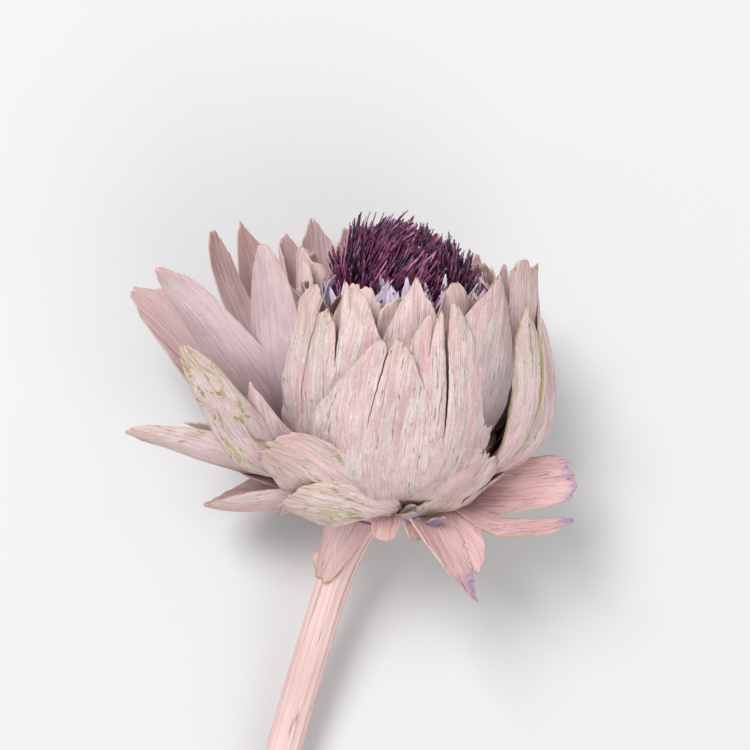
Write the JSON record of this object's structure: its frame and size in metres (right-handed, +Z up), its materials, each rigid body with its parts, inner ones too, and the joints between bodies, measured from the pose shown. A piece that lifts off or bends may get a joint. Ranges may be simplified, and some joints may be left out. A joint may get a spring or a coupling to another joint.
{
  "type": "dried artichoke flower",
  "caption": "Dried, pink-painted artichoke flower head lying on its side, with layered pointed bracts, a dark purple tuft of florets and a long curved cut stem.",
  "frame": {"origin": "centre of the whole flower's bounding box, on the surface that it lies on", "axes": "+Z up from the surface, +Y from the stem's cut end towards the flower head, +X to the right of the head seen from above"},
  "size_m": [0.1465, 0.3174, 0.0996],
  "materials": {
    "outer_bract": "chalky pink paint, worn to olive and cream, dry and matt",
    "inner_bract": "papery dusky mauve, smooth and matt",
    "floret": "dark purple dry fibres with a slight sheen",
    "stem": "ribbed, dusty pink paint over brown, matt"
  },
  "bodies": {
    "root": {"bract_head": "outer_bract", "inner_bracts": "inner_bract", "floret_tuft": "floret", "stem": "stem"}
  },
  "joints": []
}
